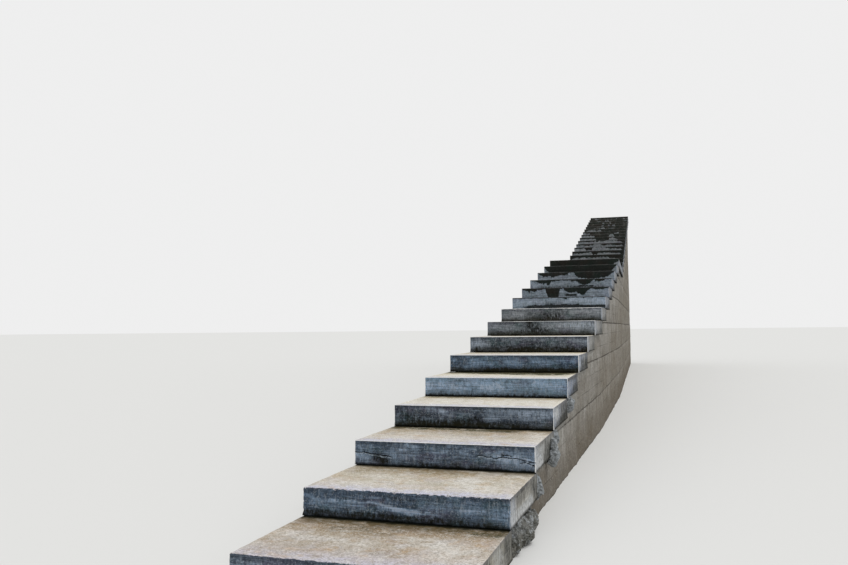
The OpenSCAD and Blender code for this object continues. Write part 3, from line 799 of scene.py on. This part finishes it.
def as_mesh(holder):
    """The plain mesh that an object's modifier makes of it. The object itself goes."""
    bpy.context.view_layer.update()
    evaluated = holder.evaluated_get(bpy.context.evaluated_depsgraph_get())
    mesh = bpy.data.meshes.new_from_object(evaluated)
    bpy.data.objects.remove(holder)
    return mesh


def made_plain(name, tree, values):
    """The mesh that a tree makes with these inputs, as a plain object."""
    holder = placed(name + "_form", bpy.data.meshes.new(name))
    modifier = holder.modifiers.new("form", "NODES")
    modifier.node_group = tree
    for item in tree.interface.items_tree:
        if item.item_type == "SOCKET" and item.in_out == "INPUT" and item.name in values:
            modifier[item.identifier] = values[item.name]
    mesh = as_mesh(holder)
    mesh.name = name
    return placed(name, mesh)


def read_vectors(mesh, attribute):
    values = np.empty(len(mesh.vertices) * 3, dtype=np.float32)
    mesh.attributes[attribute].data.foreach_get("vector", values)
    return values.reshape(-1, 3)


def write_values(mesh, attribute, values):
    layer = mesh.attributes.new(attribute, "FLOAT", "POINT")
    layer.data.foreach_set("value", np.asarray(values, dtype=np.float32))


# Marks that wear and water leave on a block, and painted light and shade on its edges and tread

# Where the faces of a block begin, in millimetres: the riser reaches this far back, and the right end starts
# this far from the middle
RISER_BACK = 20
RIGHT_END = 592

# How fast a stroke fades away from its middle line, and how far past its ends a crack counts, in millimetres
STROKE_FADE = 0.7
CRACK_MARGIN = 3

# Least share that the black covers of a riser that WATER_MARKS lists: of these steps, and of the others
LEAST_BLACK = {11: 0.10, 12: 0.10, 13: 0.10}
PLAIN_LEAST = 0.02

# Black on the risers of the upper flight that WATER_MARKS doesn't list: least and usual share of the riser,
# next to the landing and further up, and the two noises that swing it: how close together, where they start
# and how strong
BLACK_BY_LANDING = (0.40, 0.58)
BLACK_FURTHER_UP = (0.16, 0.50)
BLACK_SWINGS = ((5.0, 0.0, 0.55), (17.0, 9.0, 0.25))

# How far the black goes round the ends of a riser, and how fast it fades there
BLACK_WRAP = 0.012
WRAP_FADE = 1.5

# How far down from the top still counts as tread, how black a tread is at its front, and how fast that fades
TREAD_EDGE = 0.007
TREAD_BLACK = 0.05
TREAD_FADE = 0.5

# How pale the nose of a block is that PALE_NOSE doesn't list, and the corners of a front, pale with wear and
# a
# painted highlight: where they are worn most, and elsewhere
PLAIN_NOSE = 0.08
BRIGHTEST_CORNER = 0.8
PLAIN_CORNER = 0.35

# How far back a pale nose reaches, in widths of the arris: the least, and what a full one adds; then how far
# down, as a share of that, and how sharply it ends
PALE_BACK = (0.9, 0.8)
PALE_DOWN = 0.55
PALE_EDGE = 2.5


def covered_share(n, across, rng):
    """Share of a riser that the black covers, at places across the step, or None where there is no black."""
    if n in WATER_MARKS:
        least = LEAST_BLACK.get(n, PLAIN_LEAST)
        places = [place / 1000 for place in WATER_MARKS[n]]
        shares = [share / 100 for share in WATER_MARKS[n].values()]
        return np.maximum(least, np.interp(across, places, shares))
    if n <= LOWER_STEPS:
        return None
    least, share = BLACK_BY_LANDING if n <= LOWER_STEPS + 2 else BLACK_FURTHER_UP
    start = Vector((rng.uniform(0, 50), rng.uniform(0, 50), 0))
    swings = [sum(strength * noise.noise(start + Vector((x * pace, shift, 0)))
                  for pace, shift, strength in BLACK_SWINGS) for x in across]
    return np.maximum(least, share + np.array(swings))


def stroke_field(x, z, strokes):
    """Sum at points of a face of its strokes, which fade out past their half width."""
    field = np.zeros_like(x)
    for x0, z0, x1, z1, half, strength in strokes:
        run = np.array([x1 - x0, z1 - z0], dtype=float)
        along = ((x - x0) * run[0] + (z - z0) * run[1]) / (run @ run)
        along = np.clip(along, 0, 1)
        gap = np.hypot(x - x0 - along * run[0], z - z0 - along * run[1])
        field += strength * np.exp(-STROKE_FADE * (gap / half) ** 2)
    return field


def crack_field(x, z, cracks):
    """Height above the nearest crack line, in metres, and 1 where there is none."""
    field = np.ones_like(x)
    for line in cracks:
        across, up = zip(*line)
        height = (z - np.interp(x, across, up)) / 1000
        beside = (x > across[0] - CRACK_MARGIN) & (x < across[-1] + CRACK_MARGIN)
        nearest = beside & (abs(height) < abs(field))
        field = np.where(nearest, height, field)
    return field


def add_marks(mesh, n, height, rng):
    """Writes what wear and water have left on a block, and the painted light and shade on its edges and
    tread, for its material.
    """
    place = read_vectors(mesh, "place")
    spare = read_vectors(mesh, "spare")
    pale_nose = PALE_NOSE.get(n, PLAIN_NOSE)
    pale_corner = BRIGHTEST_CORNER if 2 < n < MIDDLE_STEP else PLAIN_CORNER
    least_back, more_back = PALE_BACK
    reach = ARRIS * (least_back + more_back * pale_nose)
    near_end = 1 - np.clip(spare[:, 0] / ARRIS, 0, 1)
    near_front = 1 - np.clip(place[:, 1] / reach, 0, 1)
    near_top = 1 - np.clip(spare[:, 2] / (PALE_DOWN * reach), 0, 1)
    # Pale worn edges with a painted highlight: along the nose, down the front corners and along the top of
    # the ends
    worn = np.clip(PALE_EDGE * np.minimum(near_front, near_top), 0, 1) * pale_nose
    worn = np.maximum(worn, np.clip(PALE_EDGE * np.minimum(near_front, near_end), 0, 1) * pale_corner)
    worn = np.maximum(worn, np.minimum(near_top, near_end) * PLAIN_CORNER)
    write_values(mesh, "worn", worn)

    across, back, up = (place * 1000).T
    on_riser = back < RISER_BACK
    on_right_end = (across > RIGHT_END) & ~on_riser
    lime = np.where(on_riser, stroke_field(across, up, STROKES.get(n, [])), 0)
    lime = np.where(on_right_end, stroke_field(back, up, END_STROKES.get(n, [])), lime)
    write_values(mesh, "lime", lime)
    write_values(mesh, "tread_wear_light_and_shade", stroke_field(across, back, TREAD_STROKES.get(n, [])))
    write_values(mesh, "crack", np.where(on_riser, crack_field(across, up, CRACKS.get(n, [])), 1))

    share = covered_share(n, place[:, 0], rng)
    if share is None:
        write_values(mesh, "water", np.full(len(place), -1.0))
        return
    inside = share * height - spare[:, 2]
    # The black goes a little way round the ends, and thins out over the tread
    inside -= np.where(spare[:, 0] < BLACK_WRAP, place[:, 1] * WRAP_FADE, 0)
    inside = np.where(spare[:, 2] < TREAD_EDGE, TREAD_BLACK - place[:, 1] * TREAD_FADE, inside)
    write_values(mesh, "water", np.clip(inside, -1.0, 1.0))


# Steps and landing

# Tones and state of a slab of the landing, as in CASTING, and what its seed is counted from
SLAB_TONES = (0.5, 0.15, 0.3)
SLAB_STATE = (0.15, 0.6, 0.0)
SLAB_SEED = 40.0

# The same of a block of the upper flight: least and most of its first two tones, its third, and its state
UPPER_FORMED = (0.7, 0.95)
UPPER_TREAD = (0.0, 0.3)
# Blue of the painted open-sky shade on the front of an upper block
UPPER_SHADE_BLUE = 0.15
UPPER_STATE = (0.3, 0.6, 0.0)


def dress(piece, node):
    """Puts a finished piece in the place of its solid."""
    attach(piece, "root")
    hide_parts(node)


def rows_for(n):
    return next(rows for last, rows in ROWS.items() if n <= last)


def make_block(tree, node, marks_of, rows, rng, values):
    """One cast block in the place of a solid, with the marks of a step, or of none where that is 0."""
    columns, back, up = rows
    rows_of_mesh = {"Columns": columns, "Rows Back": back, "Rows Up": up}
    piece = made_plain("cast_" + node, tree, {"Arris": ARRIS, **rows_of_mesh, **values})
    add_marks(piece.data, marks_of, values["Size"][2], rng)
    dress(piece, node)


def make_steps(tree, concrete):
    """The thirty-one cast steps."""
    rng = random.Random(31)
    for n in range(1, STEP_COUNT + 1):
        depth = LOWER_GOING if n == LOWER_STEPS else going(n) + BEARING
        upper_tones = (rng.uniform(*UPPER_FORMED), rng.uniform(*UPPER_TREAD), UPPER_SHADE_BLUE)
        tones, state = CASTING.get(n, (upper_tones, UPPER_STATE))
        make_block(tree, "step_%02d" % n, n, rows_for(n), rng, {
            "Size": (STEP_WIDTH, depth, rise(n)),
            "Hidden Back": 0.0 if n == LOWER_STEPS else BEARING,
            "Tones": tones, "State": state,
            "Seed": float(n),
            "Bed Turn": math.radians(BED_TURN[n - 1]) if n <= LOWER_STEPS else 0.0,
            "Seat": level(n - 1),
            "Nose": NOSES[n - 1],
            "Heading": heading(n),
            "Concrete": concrete,
        })


def make_landing(tree, concrete):
    """The three slabs that fill the landing behind its first block."""
    pitch = (LANDING_GOING - LOWER_GOING) / LANDING_SLABS
    rng = random.Random(3)
    for i in range(1, LANDING_SLABS + 1):
        tail = BEARING if i == LANDING_SLABS else 0.0
        front = Vector((0, LOWER_GOING + pitch * (i - 1) + SLAB_JOINT, 0))
        make_block(tree, "landing_slab_%d" % i, 0, rows_for(LOWER_STEPS), rng, {
            "Size": (STEP_WIDTH, pitch - SLAB_JOINT + tail, LOWER_RISE),
            "Hidden Back": tail,
            "Tones": SLAB_TONES, "State": SLAB_STATE,
            "Seed": SLAB_SEED + i,
            "Bed Turn": 0.0,
            "Seat": level(LOWER_STEPS - 1),
            "Nose": at_step(LOWER_STEPS) @ front,
            "Heading": heading(LOWER_STEPS),
            "Concrete": concrete,
        })


# Foundation walls

# Waves and rough patches in the faces of the walls: how close together and how deep, and how far they are
# shifted to either side, so that the two faces of a wall differ
WALL_WAVES = ((2.2, 0.007), (7.0, 0.005), (19.0, 0.004))
FACE_SHIFT = 9.0

# Depth of a joint between two lifts, and how closely and strongly that depth varies
JOINT_DEPTH = 0.010
JOINT_MEAN = 0.65
JOINT_SWING = (4.0, 0.5)

# How far the faces of the cross walls are set in, and the length and height of their mesh faces
CROSS_WALL_INSET = 0.018
CROSS_WALL_FACES = (0.05, 0.06)

# How near two points have to be to be one, by how many degrees two faces of one plane may differ, and how far
# a level may lie under its lift
SAME_POINT = 1e-5
SAME_PLANE = 0.05
SAME_LEVEL = 1e-4

# Stretches of the side walls: name, first and last step, and length of their mesh faces
WALL_STRETCHES = (
    ("lower_wall", 2, MIDDLE_STEP - 1, 0.03),
    ("middle_wall", MIDDLE_STEP, LOWER_STEPS - 1, 0.045),
    ("landing_wall", LOWER_STEPS, LOWER_STEPS, 0.05),
    ("upper_wall", LOWER_STEPS + 1, STEP_COUNT, 0.08),
)

# How far a lift was poured off its line at most, and each of them, for more lifts than the walls have
LIFT_OFF = 0.006
LIFT_COUNT = 16
LIFT_RNG = random.Random(17)
LIFT_SHIFTS = [LIFT_RNG.uniform(-LIFT_OFF, LIFT_OFF) for lift in range(LIFT_COUNT)]


def unit(axis):
    return Vector([float(i == axis) for i in range(3)])


def merged_copy(node):
    """A closed copy of a solid's mesh."""
    shape = bmesh.new()
    shape.from_mesh(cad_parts[node].data)
    bmesh.ops.remove_doubles(shape, verts=shape.verts, dist=SAME_POINT)
    same_plane = math.radians(SAME_PLANE)
    bmesh.ops.dissolve_limit(shape, angle_limit=same_plane, verts=shape.verts, edges=shape.edges)
    return shape


def cut_at(shape, to_local, axis, places):
    """Cuts a mesh by planes across one axis of a step's frame."""
    normal = to_local.to_3x3().transposed() @ unit(axis)
    for place in places:
        everything = shape.verts[:] + shape.edges[:] + shape.faces[:]
        bmesh.ops.bisect_plane(shape, geom=everything, dist=SAME_POINT, plane_no=normal,
                               plane_co=to_local.inverted() @ (unit(axis) * place))


def spread(shape, to_local, axis, pitch):
    """Places along an axis that part a mesh into even lengths near a pitch."""
    places = [(to_local @ v.co)[axis] for v in shape.verts]
    count = max(1, round((max(places) - min(places)) / pitch))
    return list(np.linspace(min(places), max(places), count + 1)[1:-1])


def joint_levels(top):
    """Levels to cut a wall at: the middle and both sides of each joint between lifts."""
    joints = [LIFT * i for i in range(1, int(top / LIFT) + 1)]
    return [joint + shift for joint in joints for shift in (-JOINT_REACH, 0.0, JOINT_REACH)]


def wall_top(n_first, n_last, y):
    """Level of a stepped wall at a distance back from the nose of its first step."""
    top = level(n_first - 1)
    reach = 0.0
    for n in range(n_first, n_last + 1):
        if y > reach + SEAT_BACK or n == n_first:
            top = level(n - 1)
        reach += going(n)
    return top


def face_swing(p, side):
    """How far the face of a wall stands out at a point: waves, rough patches, the shift between two lifts and
    the sunken joint between them."""
    shifted = p + Vector((side * FACE_SHIFT, 0, 0))
    swing = sum(depth * noise.noise(shifted * pace) for pace, depth in WALL_WAVES)
    from_joint = abs(p.z - round(p.z / LIFT) * LIFT)
    pace, varied = JOINT_SWING
    sunk = JOINT_DEPTH * max(0.0, 1 - from_joint / JOINT_REACH)
    sunk *= JOINT_MEAN + varied * noise.noise(shifted * pace)
    lift = int((p.z + SAME_LEVEL) / LIFT)
    return swing + LIFT_SHIFTS[lift] - (sunk if p.z > LIFT / 2 else 0.0)


def make_wall(name, n_first, n_last, through, pitches, top_at, inset, concrete):
    """A wall, with the axis that runs through it: its two long faces are made uneven, and its seats, ends and
    bed stay where they are."""
    to_local = at_step(n_first).inverted()
    outwards = at_step(n_first).to_3x3() @ unit(through)
    shape = merged_copy(name)
    places = [(to_local @ v.co)[through] for v in shape.verts]
    middle = (min(places) + max(places)) / 2
    length, joints = 1 - through, joint_levels(level(n_last - 1))
    cut_at(shape, to_local, length, spread(shape, to_local, length, pitches[0]))
    cut_at(shape, to_local, 2, spread(shape, to_local, 2, pitches[1]) + joints)
    drops = []
    for v in shape.verts:
        local = to_local @ v.co
        side = 1 if local[through] > middle else -1
        drops.append(top_at(local.y) - local.z)
        v.co += outwards * side * (face_swing(v.co, side) - inset)
    bmesh.ops.triangulate(shape, faces=shape.faces)
    mesh = bpy.data.meshes.new("cast_" + name)
    shape.to_mesh(mesh)
    shape.free()
    write_values(mesh, "drop", drops)
    mesh.materials.append(concrete)
    dress(placed("cast_" + name, mesh), name)


def make_walls(concrete):
    """The side walls in four stretches, and the two walls between them."""
    for name, n_first, n_last, pitch in WALL_STRETCHES:
        for word in ("left", "right"):
            make_wall("%s_%s" % (name, word), n_first, n_last, 0, (pitch, pitch),
                      partial(wall_top, n_first, n_last), 0.0, concrete)
    for name, n in (("landing_cross_wall", LOWER_STEPS), ("back_wall", STEP_COUNT)):
        make_wall(name, n, n, 1, CROSS_WALL_FACES, lambda back: level(n), CROSS_WALL_INSET, concrete)


# Spilled lumps

# How far out they may reach, the hollows that are filled where two meet, and the size of their mesh faces
SPILL_REACH = 0.669
SPILL_FILL = 0.034
SPILL_FACE = 0.0055

# Slump and crags of their surface: how close together and how far out
SLUMP_PACE = Vector((8, 8, 5))
SLUMP_OUT = 0.022
SPILL_CRAGS = ((19, 0.017), (42, 0.011), (95, 0.005))

# Level that they stand in below and out above, and how far
SPILL_FOOT = 0.18
FOOT_IN = 0.008
TOP_OUT = 0.007


def even_mesh(mesh):
    """The same shape in small even faces."""
    holder = placed("spill_form", mesh)
    remesh = holder.modifiers.new("remesh", "REMESH")
    remesh.mode = "VOXEL"
    remesh.voxel_size = SPILL_FACE
    return as_mesh(holder)


def swell(mesh, amount_at):
    """Moves a surface out along its normals by what a function gives for each point."""
    shape = bmesh.new()
    shape.from_mesh(mesh)
    shape.normal_update()
    for v in shape.verts:
        v.co += v.normal * amount_at(v.co)
    shape.to_mesh(mesh)
    shape.free()


def crag(p):
    """How far the rough surface of the lumps stands out at a point."""
    slump = noise.noise(p * SLUMP_PACE) * SLUMP_OUT
    broken = sum(noise.noise(p * pace) * out for pace, out in SPILL_CRAGS)
    return slump + broken - (FOOT_IN if p.z < SPILL_FOOT else -TOP_OUT)


def make_spills(concrete):
    """The lumps beside the lower steps: run together where they meet, and with a coarse, craggy surface."""
    shape = merged_copy("spilled_concrete")
    bmesh.ops.triangulate(shape, faces=shape.faces)
    coarse = bpy.data.meshes.new("spill_form")
    shape.to_mesh(coarse)
    shape.free()
    for amount_at in (lambda p: SPILL_FILL, lambda p: -SPILL_FILL, crag):
        coarse = even_mesh(coarse)
        swell(coarse, amount_at)
    for v in coarse.vertices:
        v.co.x = min(v.co.x, SPILL_REACH)
        v.co.z = max(v.co.z, 0.0)
    coarse.name = "slumped_spills"
    coarse.materials.clear()
    coarse.materials.append(concrete)
    dress(placed("slumped_spills", coarse), "spilled_concrete")


# Floor, light and camera

# How far the floor reaches, and how far the camera sees
FLOOR_REACH = 400.0
CAMERA_REACH = 1000.0

# Strength of the world as light and as background, and of the sun, its width in degrees and where it stands
WORLD_LIGHT = 0.62
WORLD_SEEN = 0.86
SUN_LIGHT = 1.35
SUN_WIDTH = 35
SUN_PLACE = (0.55, -0.10, 1.0)

# Viewpoint in metres and radians, as fitted to the edges of the steps, and focal length and width of the
# picture in pixels
EYE = (1.4534, -3.6819, 1.208)
YAW, PITCH, ROLL = 0.3142, 0.059, -0.0099
FOCAL_PIXELS = 780
WIDTH_PIXELS = 848
SENSOR_MM = 36.0


def make_floor():
    """A pale plain floor that reaches the horizon."""
    mesh = bpy.data.meshes.new("floor")
    corners = [(x * FLOOR_REACH, y * FLOOR_REACH, 0) for x, y in ((-1, -1), (1, -1), (1, 1), (-1, 1))]
    mesh.from_pydata(corners, [], [(0, 1, 2, 3)])
    floor = placed("floor", mesh)
    material = bpy.data.materials.new("pale_matt_floor")
    node = partial(add, cleared(material))
    shader = node("ShaderNodeBsdfPrincipled", {
        "Base Color": "#e4e4e2", "Roughness": 1.0, "Specular IOR Level": 0.0})
    node("ShaderNodeOutputMaterial", {"Surface": shader})
    mesh.materials.append(material)


def make_light():
    """Even light all round, and a broad soft sun high on the right and a little in front of the steps."""
    world = bpy.data.worlds.new("studio")
    bpy.context.scene.world = world
    node = partial(add, cleared(world))
    rays = node("ShaderNodeLightPath")
    seen = node(MATH, {0: (rays, "Is Camera Ray"), 1: (rays, "Is Glossy Ray")}, "MAXIMUM")
    seen = node(MATH, {0: seen, 1: (rays, "Is Transmission Ray")}, "MAXIMUM")
    strength = node(RANGE, {"Value": seen, "To Min": WORLD_LIGHT, "To Max": WORLD_SEEN})
    background = node("ShaderNodeBackground", {"Color": (1, 1, 1, 1), "Strength": strength})
    node("ShaderNodeOutputWorld", {"Surface": background})
    sun = bpy.data.lights.new("soft_key", "SUN")
    sun.energy = SUN_LIGHT
    sun.angle = math.radians(SUN_WIDTH)
    key = placed("soft_key", sun)
    key.rotation_euler = Vector(SUN_PLACE).to_track_quat("Z", "Y").to_euler()


def make_camera():
    """The photograph's viewpoint: at eye height to the right of the foot, looking up the flight."""
    data = bpy.data.cameras.new("camera")
    data.sensor_width = SENSOR_MM
    data.lens = FOCAL_PIXELS / WIDTH_PIXELS * SENSOR_MM
    data.clip_end = CAMERA_REACH
    level_ahead = Vector((-math.sin(YAW), math.cos(YAW), 0))
    right = Vector((math.cos(YAW), math.sin(YAW), 0))
    up = Vector((0, 0, 1))
    ahead = level_ahead * math.cos(PITCH) + up * math.sin(PITCH)
    over = up * math.cos(PITCH) - level_ahead * math.sin(PITCH)
    camera_x = right * math.cos(ROLL) + over * math.sin(ROLL)
    camera_y = over * math.cos(ROLL) - right * math.sin(ROLL)
    turn = Matrix((camera_x, camera_y, -ahead)).transposed().to_4x4()
    camera = placed("camera", data)
    camera.matrix_world = Matrix.Translation(EYE) @ turn
    bpy.context.scene.camera = camera


bpy.context.scene.view_settings.view_transform = "Standard"
block = cast_block_tree()
steps_finish = step_concrete()
make_steps(block, steps_finish)
make_landing(block, steps_finish)
make_walls(wall_concrete())
make_spills(spill_concrete())
make_floor()
make_light()
make_camera()
